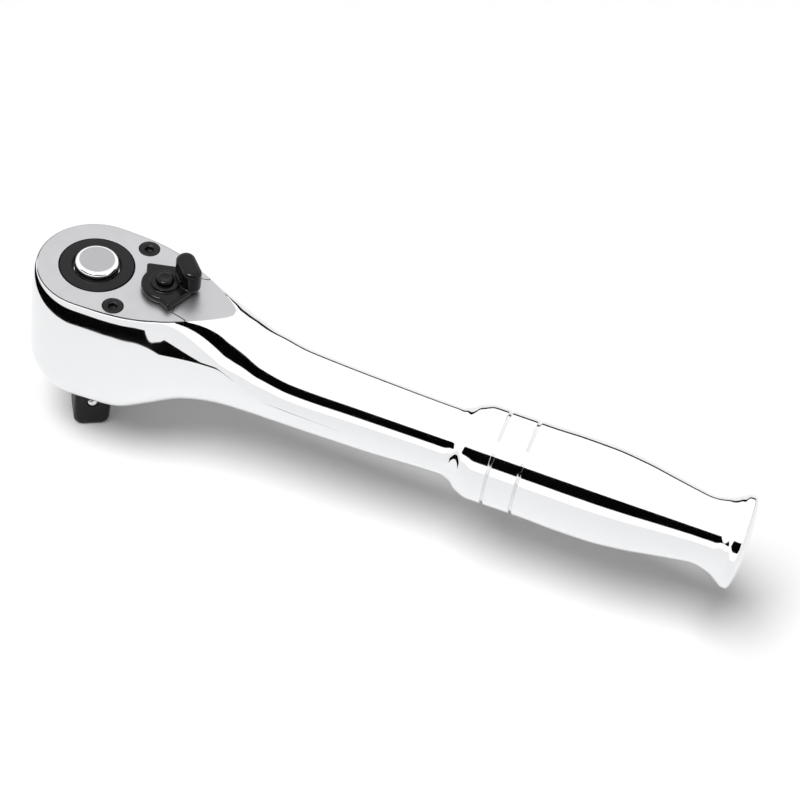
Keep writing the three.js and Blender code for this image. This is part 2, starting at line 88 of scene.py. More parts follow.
def camera_axes(azimuth, elevation, roll):
    """The camera's right, up and back directions for three angles in degrees."""
    a, e, r = (math.radians(value) for value in (azimuth, elevation, roll))
    back = Vector((math.sin(a) * math.cos(e), -math.cos(a) * math.cos(e), math.sin(e)))
    level = Vector((math.cos(a), math.sin(a), 0))
    upright = back.cross(level)
    right = level * math.cos(r) + upright * math.sin(r)
    return right, back.cross(right), back


def make_camera():
    right, up, back = camera_axes(CAMERA_AZIMUTH, CAMERA_ELEVATION, CAMERA_ROLL)
    data = bpy.data.cameras.new("camera")
    data.lens = CAMERA_LENS
    data.clip_start = 0.01
    camera = bpy.data.objects.new("camera", data)
    bpy.context.collection.objects.link(camera)
    place = Vector((0, 0, TOP)) + right * HEAD_LEFT_OF_AXIS - up * HEAD_ABOVE_AXIS
    place += back * CAMERA_DISTANCE
    turn = Matrix((right, up, back)).transposed().to_4x4()
    camera.matrix_world = Matrix.Translation(place * MM) @ turn
    bpy.context.scene.camera = camera
    return camera


camera = make_camera()
print("camera at", [round(value, 3) for value in camera.location])

# %% [markdown]
# ## Node trees as expressions
#
# A finish is easier to read as arithmetic than as a picture of wires. `Wire` wraps one socket of
# a node, so that `1 - mask` or `grain * 0.2` adds the Math nodes it needs. Every other node
# comes from one method, `Board.add`, which takes the node's type, its settings and what its
# sockets get. The same two classes write shaders and Geometry Nodes.

# %% Wires and boards
class Wire:
    """One output socket. Sums and products of wires add Math nodes to their tree."""

    def __init__(self, board, socket):
        self.board = board
        self.socket = socket

    def math(self, operation, first, second=0.0):
        return self.board.add("ShaderNodeMath", {"operation": operation}, {0: first, 1: second})

    def __add__(self, other):
        return self.math("ADD", self, other)

    def __sub__(self, other):
        return self.math("SUBTRACT", self, other)

    def __rsub__(self, other):
        return self.math("SUBTRACT", other, self)

    def __mul__(self, other):
        return self.math("MULTIPLY", self, other)

    def __pow__(self, other):
        return self.math("POWER", self, other)

    __radd__ = __add__
    __rmul__ = __mul__

    def ramp(self, low, high):
        """0 below low, 1 above high, and smooth between them."""
        return self.board.add("ShaderNodeMapRange", {"interpolation_type": "SMOOTHSTEP"},
                              {"Value": self, "From Min": low, "From Max": high})


class Board:
    """A node tree that nodes are added to."""

    def __init__(self, tree):
        self.tree = tree

    def put(self, socket, value):
        if isinstance(value, Wire):
            self.tree.links.new(value.socket, socket)
        elif value is not None:
            socket.default_value = value

    def add(self, kind, settings=None, inputs=None, output=0):
        node = self.tree.nodes.new(kind)
        for name, value in (settings or {}).items():
            setattr(node, name, value)
        for name, value in (inputs or {}).items():
            self.put(node.inputs[name], value)
        return Wire(self, node.outputs[output]) if node.outputs else node


print("wires and boards are ready")

# %% [markdown]
# ## Patterns that every metal shares
#
# No real metal is perfectly even. Polished chrome carries a faint waviness from the polishing
# wheel and a film of handling marks that only shows as a change of gloss. The patterns read
# Object coordinates, so they stay on the piece when it moves. Stretching those coordinates with
# a Mapping node turns round specks into brushed streaks.

# %% Patterns
class Finish(Board):
    """A material with one Principled shader, and the patterns that feed it."""

    def __init__(self, name, colour, metallic, roughness):
        self.material = bpy.data.materials.new(name)
        self.material.use_nodes = True
        super().__init__(self.material.node_tree)
        self.shader = self.tree.nodes["Principled BSDF"]
        self.place = self.add("ShaderNodeTexCoord", output="Object")
        self.set("Metallic", metallic)
        self.set("Roughness", roughness)
        self.set("Base Color", (*colour, 1))

    def set(self, socket, value):
        self.put(self.shader.inputs[socket], value)

    def axis(self, name):
        return self.add("ShaderNodeSeparateXYZ", None, {"Vector": self.place}, name)

    def noise(self, scale, detail=3.0, stretch=(1, 1, 1)):
        """Cloudy noise from 0 to 1. scale is in cycles per metre along each unstretched axis."""
        spot = self.add("ShaderNodeMapping", None, {"Vector": self.place, "Scale": stretch})
        return self.add("ShaderNodeTexNoise", None,
                        {"Vector": spot, "Scale": scale, "Detail": detail}, "Fac")

    def specks(self, scale):
        return self.add("ShaderNodeTexVoronoi", None,
                        {"Vector": self.place, "Scale": scale}, "Distance")

    def mixed(self, mask, first, second):
        """The first colour where the mask is 0 and the second where it is 1."""
        return self.add("ShaderNodeMix", {"data_type": "RGBA"},
                        {"Factor": mask, 6: (*first, 1), 7: (*second, 1)}, 2)

    def bump(self, height, distance, strength=1.0):
        self.set("Normal", self.add("ShaderNodeBump", None, {
            "Height": height, "Distance": distance, "Strength": strength}))


def radius_about_z(finish):
    """Distance from the drive's upright axis, in metres."""
    return (finish.axis("X") ** 2 + finish.axis("Y") ** 2) ** 0.5


print("patterns: noise, specks, radius")

# %% [markdown]
# ## Chrome and satin chrome
#
# The forging is polished to a mirror and plated. Its flat top face, round the cover, is blasted
# to a soft satin before plating, so the same metal shows two finishes. The mask between them is
# the height: only the flat face lies within a few hundredths of the top plane.

# %% Chrome finishes
CHROME = (0.83, 0.835, 0.845)
SATIN = (0.47, 0.47, 0.485)


def chrome_finish():
    finish = Finish("mirror_chrome", CHROME, 1.0, 0.04)
    flat_top = finish.axis("Z").ramp((TOP - 0.06) * MM, (TOP - 0.02) * MM)
    grain = finish.noise(5200, 4)
    haze = finish.noise(55, 4) ** 2
    lines = finish.noise(900, 2, (0.06, 1, 1))
    polished = 0.025 + haze * 0.07 + lines * 0.02
    finish.set("Roughness", polished * (1 - flat_top) + (0.3 + grain * 0.12) * flat_top)
    finish.set("Base Color", finish.mixed(flat_top, CHROME, SATIN))
    wave = finish.noise(70, 1) * 0.000022
    finish.bump(wave + grain * flat_top * 0.000006, 1.0)
    return finish.material


def satin_finish():
    finish = Finish("blasted_chrome", SATIN, 1.0, 0.36)
    grain = finish.noise(5200, 4)
    cloud = finish.noise(140, 3)
    brushed = finish.noise(2400, 2, (0.05, 1, 1))
    finish.set("Roughness", 0.26 + grain * 0.12 + cloud * 0.06)
    finish.set("Base Color", finish.mixed(cloud.ramp(0.25, 0.75), SATIN, (0.5, 0.5, 0.515)))
    finish.bump(grain * 0.000006 + brushed * 0.000003, 1.0)
    return finish.material


def button_finish():
    """A satin crown with a polished rolled edge, and a worn patch where the thumb presses."""
    finish = Finish("turned_chrome", CHROME, 1.0, 0.05)
    radius = radius_about_z(finish)
    edge = radius.ramp(4.3 * MM, 4.7 * MM)
    crown = 1 - edge
    turned_lines = radius.math("SINE", radius * 9000)
    thumb = finish.noise(260, 3).ramp(0.35, 0.7)
    finish.set("Base Color", finish.mixed(edge, (0.4, 0.4, 0.415), CHROME))
    finish.set("Roughness", 0.05 * edge + (0.24 + thumb * 0.1) * crown)
    finish.bump(turned_lines * crown * 0.0000016, 1.0)
    return finish.material


chrome = chrome_finish()
satin_chrome = satin_finish()
button_chrome = button_finish()
print("finishes:", chrome.name, satin_chrome.name, button_chrome.name)

# %% [markdown]
# ## Black oxide and gloss black
#
# The drive and the screws are hardened steel with a black oxide: a thin, slightly patchy layer
# that has a dull sheen and rubs through to grey on edges. The lever is a smooth casting with a
# glossy black coat. Constants such as the coat's own roughness sit on the shader's sockets.

# %% Black finishes
OXIDE = (0.006, 0.006, 0.0068)
WORN_OXIDE = (0.035, 0.035, 0.038)
LACQUER = (0.003, 0.003, 0.0033)


def oxide_finish():
    finish = Finish("oxide_black", OXIDE, 0.0, 0.42)
    finish.set("Specular IOR Level", 0.18)
    patches = finish.noise(420, 5)
    tooling = finish.noise(3000, 2, (1, 1, 0.08))
    scuffs = finish.noise(1300, 4).ramp(0.6, 0.78)
    finish.set("Base Color", finish.mixed(scuffs * 0.5 + patches * 0.12, OXIDE, WORN_OXIDE))
    finish.set("Roughness", 0.34 + patches * 0.16 + tooling * 0.06)
    finish.bump(tooling * 0.000003 + patches * 0.000004, 1.0)
    return finish.material


def gloss_finish():
    finish = Finish("lacquer_black", LACQUER, 0.0, 0.16)
    finish.set("Specular IOR Level", 0.16)
    finish.set("Coat Weight", 0.1)
    finish.set("Coat Roughness", 0.06)
    peel = finish.noise(650, 2)
    dust = finish.specks(5200).ramp(0.1, 0.02)
    finish.set("Roughness", 0.14 + peel * 0.1)
    finish.set("Base Color", finish.mixed(dust * 0.4, LACQUER, (0.03, 0.03, 0.032)))
    finish.bump(peel * 0.00001, 1.0)
    return finish.material


black_oxide = oxide_finish()
gloss_black = gloss_finish()
print("finishes:", black_oxide.name, gloss_black.name)

# %% [markdown]
# ## The hidden metals and the seals
#
# Steel inside the head is left as it comes from the lathe or the wire mill: bright, oily and
# finely ringed. One function makes them all, because they differ only in colour, gloss and the
# direction of their tool marks.

# %% Inner finishes
def steel_finish(name, colour, roughness, marks):
    finish = Finish(name, colour, 1.0, roughness)
    rings = finish.noise(2600, 2, marks)
    oil = finish.noise(300, 3)
    darker = tuple(0.7 * part for part in colour)
    finish.set("Base Color", finish.mixed(oil.ramp(0.3, 0.8), colour, darker))
    finish.set("Roughness", roughness + rings * 0.1 + oil * 0.05)
    finish.bump(rings * 0.000004, 1.0)
    return finish.material


def rubber_finish():
    finish = Finish("nitrile_rubber", (0.014, 0.014, 0.014), 0.0, 0.7)
    grain = finish.noise(3800, 3)
    finish.set("Roughness", 0.62 + grain * 0.2)
    finish.bump(grain * 0.000008, 1.0)
    return finish.material


bare_steel = steel_finish("bare_steel", (0.6, 0.61, 0.63), 0.2, (1, 1, 0.05))
dark_steel = steel_finish("dark_steel", (0.16, 0.16, 0.17), 0.32, (0.1, 1, 1))
spring_steel = steel_finish("spring_steel", (0.45, 0.46, 0.48), 0.25, (1, 1, 0.3))
ball_steel = steel_finish("ball_steel", (0.78, 0.79, 0.8), 0.06, (1, 1, 1))
rubber_seal = rubber_finish()
print("inner finishes:", bare_steel.name, dark_steel.name, spring_steel.name, ball_steel.name)

# %% [markdown]
# ## Mesh helpers
#
# Three shapes make nearly every piece of this tool: a prism with a drawn outline, a loft through
# rings, and a cut by another solid. `settled` bakes the modifiers into a plain mesh, shades it
# smooth and keeps hard edges hard, which is what a machined part looks like.

# %% Mesh helpers
def mesh_object(name, points, faces):
    """An object from points in millimetres. Doubles are merged and faces point outwards."""
    mesh = bpy.data.meshes.new(name)
    mesh.from_pydata([Vector(point) * MM for point in points], [], faces)
    shape = bmesh.new()
    shape.from_mesh(mesh)
    bmesh.ops.remove_doubles(shape, verts=shape.verts, dist=0.002 * MM)
    bmesh.ops.dissolve_degenerate(shape, edges=shape.edges, dist=0.001 * MM)
    bmesh.ops.recalc_face_normals(shape, faces=shape.faces)
    shape.to_mesh(mesh)
    shape.free()
    made = bpy.data.objects.new(name, mesh)
    bpy.context.collection.objects.link(made)
    return made


def prism(name, outline, low, high):
    count = len(outline)
    points = [(x, y, z) for z in (low, high) for x, y in outline]
    sides = [(i, (i + 1) % count, count + (i + 1) % count, count + i) for i in range(count)]
    caps = [tuple(reversed(range(count))), tuple(range(count, 2 * count))]
    return mesh_object(name, points, sides + caps)


def arc(centre, radius, start, end, steps):
    angles = [math.radians(start + (end - start) * i / steps) for i in range(steps + 1)]
    return [(centre[0] + radius * math.cos(a), centre[1] + radius * math.sin(a)) for a in angles]


def disc(name, radius, low, high, centre=(0, 0), sides=96):
    return prism(name, arc(centre, radius, 0, 360 - 360 / sides, sides - 1), low, high)


def circle(angle):
    """The shape of a round ring for `loft`: the same radius at every angle."""
    return 1.0


def loft(name, rings, sides=96, centre=(0, 0)):
    """Skins rings of (shape, size, z), closed at both ends. A shape gives its radius at an angle."""
    points = []
    for shape, size, z in rings:
        for i in range(sides):
            angle = 2 * math.pi * i / sides
            radius = size * shape(angle)
            points.append((centre[0] + radius * math.cos(angle),
                           centre[1] + radius * math.sin(angle), z))
    faces = [(r * sides + i, r * sides + (i + 1) % sides, (r + 1) * sides + (i + 1) % sides,
              (r + 1) * sides + i) for r in range(len(rings) - 1) for i in range(sides)]
    faces += [tuple(range(sides)), tuple(range((len(rings) - 1) * sides, len(rings) * sides))]
    return mesh_object(name, points, faces)


def drop(*objects):
    for one in objects:
        bpy.data.objects.remove(one)


def modified(target, kind, **settings):
    """Adds a modifier, sets it and bakes it into the mesh."""
    change = target.modifiers.new(kind.lower(), kind)
    for name, value in settings.items():
        setattr(change, name, value)
    graph = bpy.context.evaluated_depsgraph_get()
    target.data = bpy.data.meshes.new_from_object(target.evaluated_get(graph))
    target.modifiers.clear()
    return target


def cut(target, *tools):
    for tool in tools:
        modified(target, "BOOLEAN", object=tool, operation="DIFFERENCE", solver="EXACT")
    drop(*tools)
    return target


def settled(piece, material, hard_angle=32):
    """Smooth shading with hard edges, flat faces kept flat, and one material."""
    piece.data.materials.clear()
    piece.data.materials.append(material)
    for face in piece.data.polygons:
        face.material_index = 0
    piece.data.shade_smooth()
    piece.data.set_sharp_from_angle(angle=math.radians(hard_angle))
    modified(piece, "WEIGHTED_NORMAL", keep_sharp=True, weight=80)
    return piece


def mounted(piece, body, slot, *nodes):
    """Hangs a finished piece on its body in place of its plain nodes."""
    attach(piece, body)
    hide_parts(*nodes)
    print(piece.name, "rides on", body, "with", len(piece.data.polygons), "faces")
    return piece


# %% [markdown]
# ## The forging's shape rules
#
# Head, neck and grip are one forging. A forging like this is drawn as a few curves along its
# length: how wide it is, how far its crown and its belly lie below the top face, and how round
# its corners are. `along` turns a short list of stations into a smooth curve that never
# overshoots, because each slope is the harmonic mean of its neighbours.

# %% Shape rules
HEAD_RADIUS = 16.1
HANDLE_DROP = 18.4
NECK_END, NECK_RADIUS = 97.5, 8.9
SHOULDER_X, GRIP_RADIUS = 103.3, 12.4
GROOVES, GROOVE_DEPTH, GROOVE_HALF_WIDTH = (110, 117.6), 0.7, 0.5
END_ROUND_X, END_ROUND_RADIUS = 173.7, 12.1
PLATE_TIP_X, PLATE_RADIUS = 38.8, 14.8
AXIS_Z = TOP - HANDLE_DROP


def along(*stations):
    """A smooth value along the handle: cubic between stations (x, value), level at both ends."""
    xs, values = zip(*stations)
    rates = [(values[i + 1] - values[i]) / (xs[i + 1] - xs[i]) for i in range(len(xs) - 1)]
    slopes = [0.0]
    for before, after in zip(rates, rates[1:]):
        slopes.append(2 * before * after / (before + after) if before * after > 0 else 0.0)
    slopes.append(0.0)

    def value(x):
        if x <= xs[0] or x >= xs[-1]:
            return values[0] if x <= xs[0] else values[-1]
        i = max(k for k in range(len(xs) - 1) if xs[k] <= x)
        span = xs[i + 1] - xs[i]
        t = (x - xs[i]) / span
        return (values[i] * (1 + 2 * t) * (1 - t) ** 2 + values[i + 1] * t * t * (3 - 2 * t)
                + span * slopes[i] * t * (1 - t) ** 2 - span * slopes[i + 1] * t * t * (1 - t))

    return value


NECK = ((49, 10.3), (61, 10), (75, 9.4), (NECK_END, NECK_RADIUS))
body_half = along((0, HEAD_RADIUS), (6, 16), (12, 15.45), (17, 14.3), (22, 12.9), (27, 11.9),
                  (33, 11.1), (40, 10.6), *NECK)
plate_half = along((0, PLATE_RADIUS), (6, 14.65), (12, 14.05), (16, 13.2), (21, 11.4), (27, 8.5),
                   (32, 5.5), (36, 2.5), (PLATE_TIP_X, 0))
crown_drop = along((0, 0), (37, 0), (42, 2.2), (48, 5.9), (57, 8.2), (75, 9),
                   (NECK_END, HANDLE_DROP - NECK_RADIUS))
belly_drop = along((0, HEAD_HEIGHT), (10, HEAD_HEIGHT), (20, 35.4), (29, 31.6), (40, 29.6),
                   (58, 29), (75, 28.7), (NECK_END, HANDLE_DROP + NECK_RADIUS))
crown_round = along((0, 11), (17, 11), (33, 10.3), *NECK)
crown_crease = along((0, 0), (18, 0), (24, 0.4), (PLATE_TIP_X, 0.4), (52, 0))
belly_round = along((0, 11), (12, 11), (24, 13), (40, 13), (60, 11.5), (NECK_END, NECK_RADIUS))
belly_inset = along((0, 8.6), (12, 9), (24, 11), (33, 11.1), (40, 10.6), *NECK)
grip_radius = along((NECK_END, NECK_RADIUS), (99.7, 9.6), (102.6, 11.4), (106, GRIP_RADIUS),
                    (121, GRIP_RADIUS), (129, 12.6), (137, 12.5), (146, 11.7), (154, 10.4),
                    (160, 9.4), (164, 8.9), (168, 9.7), (171, 11.3), (172.6, 12.1),
                    (END_ROUND_X, END_ROUND_RADIUS))


def handle_radius(x):
    """The grip's radius, with its two grooves, closed by a low dome at the end."""
    if x > END_ROUND_X:
        rise = min(1.0, (x - END_ROUND_X) / (HANDLE_END - END_ROUND_X))
        return END_ROUND_RADIUS * math.sqrt(1 - rise * rise)
    near = min(1.0, min(abs(x - place) for place in GROOVES) / GROOVE_HALF_WIDTH)
    return grip_radius(x) - GROOVE_DEPTH * (0.5 + 0.5 * math.cos(math.pi * near))


print("half width at the head, waist and neck end:",
      [round(body_half(x), 2) for x in (0, 33, NECK_END)])

# %% [markdown]
# ## The forging
#
# At each place along the handle the rules give half a section: a rounded belly corner, then a
# rounded crown corner. Lofting those sections down the near side, round the nose like a turned
# shape, and back up the far side makes the outside in one skin. The pockets are cut afterwards,
# as a miller would: the cover's seat, the gear's bore, the pawl's pocket and the holes.

# %% Forging
CORNER_STEPS = 18
NOSE_STEPS = 56


def half_section(x):
    """Half of the section at x as (y, z) points, from the belly's middle to the crown's."""
    if x >= NECK_END:
        wide = up = handle_radius(x)
        crown, belly = AXIS_Z + up, AXIS_Z - up
        crown_in = belly_in = belly_up = up
        crease = 0.0
    else:
        wide = body_half(x)
        crown, belly = TOP - crown_drop(x), TOP - belly_drop(x)
        crown_in, up = min(wide, wide - plate_half(x)), crown_round(x)
        belly_in, belly_up = min(wide, belly_inset(x)), belly_round(x)
        crease = crown_crease(x)
    points = [(0.0, belly)]
    for i in range(CORNER_STEPS + 1):
        angle = math.pi / 2 * i / CORNER_STEPS
        points.append((wide - belly_in * (1 - math.sin(angle)),
                       belly + belly_up * (1 - math.cos(angle))))
    for i in range(CORNER_STEPS + 1):
        angle, chord = math.pi / 2 * i / CORNER_STEPS, i / CORNER_STEPS
        inward = (1 - math.cos(angle)) * (1 - crease) + chord * crease
        below = (1 - math.sin(angle)) * (1 - crease) + (1 - chord) * crease
        points.append((wide - crown_in * inward, crown - up * below))
    return [*points, (0.0, crown)]


def body_stations():
    spans = ((0, 20, 0.8), (20, 60, 0.6), (60, NECK_END, 1.2), (NECK_END, SHOULDER_X, 0.25),
             (SHOULDER_X, 109, 0.7), (109, 119, 0.125), (119, 160, 0.8), (160, END_ROUND_X, 0.3))
    places = [x for low, high, step in spans for x in np.arange(low, high, step)]
    dome = [END_ROUND_X + (HANDLE_END - END_ROUND_X) * math.sin(math.radians(a))
            for a in range(0, 91, 6)]
    return [float(x) for x in [*places, *dome]]


def forging():
    stations = body_stations()
    sheets = [[(x, y, z) for y, z in half_section(x)] for x in reversed(stations)]
    nose = half_section(0)
    for i in range(1, NOSE_STEPS):
        angle = math.pi * (0.5 + i / NOSE_STEPS)
        sheets.append([(y * math.cos(angle), y * math.sin(angle), z) for y, z in nose])
    sheets += [[(x, -y, z) for y, z in half_section(x)] for x in stations]
    count = len(nose)
    faces = [(i * count + j, i * count + j + 1, (i + 1) * count + j + 1, (i + 1) * count + j)
             for i in range(len(sheets) - 1) for j in range(count - 1)]
    return mesh_object("forged_body", [point for sheet in sheets for point in sheet], faces)


blank = forging()
print("forging:", len(blank.data.polygons), "faces,", len(body_stations()), "stations")

# %% [markdown]
# ## The cover's outline
#
# The cover is a thin plate let flush into the head. Its outline follows the same rule as the
# flat top face, and it ends behind the lever in a straight edge with two slanted ears. The seat
# in the forging is the same outline grown by a hair, and that hair is the fine dark seam.

# %% Cover outline and the pockets
COVER_END_X, COVER_END_HALF = 23.2, 7.0
EAR_X, EAR_TIP = 27.2, 0.4
SEAM = 0.22
SCREW_X, SCREW_Y, SCREW_HEAD_RADIUS, SCREW_HOLE_RADIUS = 9.4, 11.3, 2.5, 1.35
PAWL_X, PAWL_PIVOT_HOLE, SELECTOR_X = 12.6, 1.75, 18.4
GEAR_BORE, LOWER_BORE, PAWL_ROOM = 10.75, 7.35, 13.15
BODY_TOP = COVER_Z - 0.2
FLOOR_Z = HEAD_BOTTOM + 10.5


def cover_outline(grow):
    steps = 36
    places = [EAR_X * (1 - i / steps) for i in range(steps + 1)]
    far = [(x + (grow if i == 0 else 0), plate_half(x) + grow) for i, x in enumerate(places)]
    near = [(x, -y) for x, y in reversed(far)]
    end_x, end_half = COVER_END_X + grow, COVER_END_HALF - grow
    tip = plate_half(EAR_X) - EAR_TIP - grow
    nose = arc((0, 0), PLATE_RADIUS + grow, 90, 270, 90)[1:-1]
    return [*far, *nose, *near, (EAR_X + grow, -tip), (end_x, -end_half), (end_x, end_half),
            (EAR_X + grow, tip)]


def screw_places():
    return [(SCREW_X, -SCREW_Y), (SCREW_X, SCREW_Y)]


def body_pockets():
    selector_room = [(9, -5.6), (21.4, -5.6), (22.2, -4.8), (22.2, 4.8), (21.4, 5.6), (9, 5.6)]
    yield prism("seat", cover_outline(SEAM), BODY_TOP, TOP + 2)
    yield disc("gear_bore", GEAR_BORE, FLOOR_Z, TOP)
    yield disc("lower_bore", LOWER_BORE, HEAD_BOTTOM - 2, FLOOR_Z + 1)
    yield prism("pawl_pocket", [(2, 0), *arc((0, 0), PAWL_ROOM, -49, 49, 30)], FLOOR_Z, TOP)
    yield prism("selector_pocket", selector_room, FLOOR_Z, TOP)
    yield disc("pivot_hole", PAWL_PIVOT_HOLE, FLOOR_Z - 1.8, FLOOR_Z + 1, (PAWL_X, 0), 48)
    yield disc("stem_hole", 2.05, FLOOR_Z - 1.4, FLOOR_Z + 1, (SELECTOR_X, 0), 48)
    for x, y in screw_places():
        yield disc("tapped_hole", SCREW_HOLE_RADIUS, TOP - 14, TOP + 1, (x, y), 32)


body = settled(cut(blank, *body_pockets()), chrome)
mounted(body, "housing", "chrome", "body")

# %% [markdown]
# ## The cover plate
#
# The real cover is stamped, pierced and countersunk, and its edges are broken so they do not cut
# the hand. A Bevel modifier limited by angle breaks every hard edge by the same small amount,
# and that is what gives the plate its thin bright rim.

# %% Cover plate
RING_RADIUS = 9.35
STEM_HOLE_RADIUS = 2.9


def countersink(centre):
    """The two tools that cut one screw's hole in the cover: a straight hole and a cone."""
    lower = disc("screw_clearance", SCREW_HOLE_RADIUS, COVER_Z - 1, TOP + 1, centre, 48)
    wide = SCREW_HEAD_RADIUS + 0.25
    cone = [(circle, 1.5, TOP - 2.1), (circle, wide, TOP - 0.3), (circle, wide, TOP + 1)]
    seat = loft("countersink", cone, 64, centre)
    return [lower, seat]


plate = prism("cover", cover_outline(0), COVER_Z, TOP)
cut(plate, disc("ring_hole", RING_RADIUS + 0.3, COVER_Z - 1, TOP + 1, sides=160),
    disc("stem_hole", STEM_HOLE_RADIUS, COVER_Z - 1, TOP + 1, (SELECTOR_X, 0)),
    disc("post_recess", PAWL_PIVOT_HOLE, COVER_Z - 1, COVER_Z + 1.2, (PAWL_X, 0), 48),
    *[tool for centre in screw_places() for tool in countersink(centre)])
modified(plate, "BEVEL", width=0.12 * MM, segments=2, limit_method="ANGLE",
         angle_limit=math.radians(40))
mounted(settled(plate, satin_chrome, 50), "housing", "satin_cover", "cover_plate")

# %% [markdown]
# ## Geometry Nodes for what repeats
#
# Teeth, coils and screws repeat, so they are rules and not meshes. `grown` builds a small tree
# with named inputs, sets those inputs by their identifiers, and turns the result into a plain
# mesh, because instances would be lost when the tool is exported.

# %% Geometry Nodes helper
def grown(name, inputs, rule, material):
    """Runs rule(board, inputs) as a Geometry Nodes tree and returns its result as a mesh."""
    kinds = {float: "NodeSocketFloat", int: "NodeSocketInt"}
    tree = bpy.data.node_groups.new(name, "GeometryNodeTree")
    for label, value in inputs.items():
        kind = kinds.get(type(value), "NodeSocketObject")
        tree.interface.new_socket(label, in_out="INPUT", socket_type=kind)
    tree.interface.new_socket("Geometry", in_out="OUTPUT", socket_type="NodeSocketGeometry")
    board = Board(tree)
    source = tree.nodes.new("NodeGroupInput")
    wires = {label: Wire(board, source.outputs[label]) for label in inputs}
    solid = board.add("GeometryNodeRealizeInstances", None, {"Geometry": rule(board, wires)})
    painted = board.add("GeometryNodeSetMaterial", None, {"Geometry": solid, "Material": material})
    board.add("NodeGroupOutput", None, {"Geometry": painted})
    holder = bpy.data.objects.new(name, bpy.data.meshes.new(name))
    bpy.context.collection.objects.link(holder)
    growth = holder.modifiers.new("growth", "NODES")
    growth.node_group = tree
    for item in tree.interface.items_tree:
        if item.in_out == "INPUT":
            growth[item.identifier] = inputs[item.name]
    graph = bpy.context.evaluated_depsgraph_get()
    holder.data = bpy.data.meshes.new_from_object(holder.evaluated_get(graph))
    holder.modifiers.clear()
    return holder


def moved(board, shape, x=0.0, y=0.0, z=0.0, tilt=0.0, turn=0.0):
    """Tilts about Y, turns about Z, then shifts. Any of the values may be a wire."""
    shift = board.add("ShaderNodeCombineXYZ", None, {"X": x, "Y": y, "Z": z})
    spin = board.add("ShaderNodeCombineXYZ", None, {"Y": tilt, "Z": turn})
    return board.add("GeometryNodeTransform", None,
                     {"Geometry": shape, "Translation": shift, "Rotation": spin})


def ringed(board, points, shape, start, step):
    """Copies a shape to every point, each turned by start plus its number times step."""
    number = board.add("GeometryNodeInputIndex")
    turn = board.add("ShaderNodeCombineXYZ", None, {"Z": start + number * step})
    return board.add("GeometryNodeInstanceOnPoints", None,
                     {"Points": points, "Instance": shape, "Rotation": turn})


def wire_along(board, path, radius, sides):
    section = board.add("GeometryNodeCurvePrimitiveCircle", None,
                        {"Resolution": sides, "Radius": radius})
    return board.add("GeometryNodeCurveToMesh", None,
                     {"Curve": path, "Profile Curve": section, "Fill Caps": True})


def object_shape(board, wire):
    return board.add("GeometryNodeObjectInfo", None, {"Object": wire}, "Geometry")


print("geometry rules are ready")

# %% [markdown]
# ## The cover's screws
#
# Two countersunk screws with hexagon sockets hold the cover. One screw is lofted: its socket's
# rings are hexagons and its head's rings are circles, so the mesh flows from one to the other.
# The node tree puts it at both places and turns the second one, as no two screws stop alike.

# %% Screws
def polygon(count):
    """The radius of a regular polygon with that many sides, 1 across its flats' half width."""
    def shape(angle):
        sector = 2 * math.pi / count
        return 1 / math.cos((angle + sector / 2) % sector - sector / 2)
    return shape


hexagon = polygon(6)
head = SCREW_HEAD_RADIUS
screw_rings = [(circle, 0.7, TOP - 12.5), (circle, 1.2, TOP - 12), (circle, 1.2, TOP - 2.05),
               (circle, head - 0.05, TOP - 0.42), (circle, head, TOP - 0.34),
               (circle, head, TOP - 0.2), (circle, head - 0.12, TOP - 0.1),
               (circle, 1.62, TOP - 0.1), (circle, 1.5, TOP - 0.18), (hexagon, 1.15, TOP - 0.34),
               (hexagon, 1.15, TOP - 1.4), (circle, 0.4, TOP - 1.75)]
one_screw = loft("one_screw", screw_rings, 96)


def screw_rule(board, inputs):
    row = board.add("GeometryNodeMeshLine", None, {
        "Count": inputs["Count"],
        "Start Location": board.add("ShaderNodeCombineXYZ", None, {
            "X": inputs["Screw X"], "Y": inputs["Spacing"] * -0.5}),
        "Offset": board.add("ShaderNodeCombineXYZ", None, {"Y": inputs["Spacing"]})})
    return ringed(board, row, object_shape(board, inputs["Screw"]), inputs["First turn"],
                  inputs["Turn step"])


screws = grown("cover_screws", {"Screw": one_screw, "Count": 2, "Screw X": SCREW_X * MM,
                                "Spacing": 2 * SCREW_Y * MM, "First turn": 0.21,
                                "Turn step": 0.45}, screw_rule, black_oxide)
drop(one_screw)
mounted(settled(screws, black_oxide), "housing", "black_oxide", "cover_screw_near",
        "cover_screw_far")

# %% [markdown]
# ## The drive
#
# The drive is one turned and broached piece: a square tang with a rounded end for the socket, a
# lower journal, the toothed gear inside the head and the upper journal that shows as a black
# ring round the button. It is lofted from the tip up and back down through its own bore. The
# square's corners are arcs, written as a formula for the radius at each angle.

# %% Drive
DRIVE_SIDE = 9.525
DRIVE_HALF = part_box("drive_gear")[0].z / MM + DRIVE_SIDE / 2
DRIVE_TURN = math.radians(-60)
GEAR_Z = FLOOR_Z + 1.1
GEAR_TOP = BODY_TOP - 0.3
GEAR_ROOT_RADIUS, GEAR_TIP_RADIUS, GEAR_TEETH = 9.5, 10.3, 36
RING_TOP = TOP + 0.2
CUP_RADIUS, CUP_FLOOR = 6.2, TOP - 8
ROD_BORE = 2.15
BALL_Z, BALL_RADIUS = 9.0, 1.6


def square(corner):
    """A square with round corners, turned to the drive's rest angle, half its width is 1."""
    inner = 1 - corner

    def shape(angle):
        octant = (angle - DRIVE_TURN) % (math.pi / 2)
        octant = min(octant, math.pi / 2 - octant)
        if math.tan(octant) <= inner:
            return 1 / math.cos(octant)
        reach = inner * (math.cos(octant) + math.sin(octant))
        return reach + math.sqrt(max(0.0, reach ** 2 - 2 * inner ** 2 + corner ** 2))

    return shape


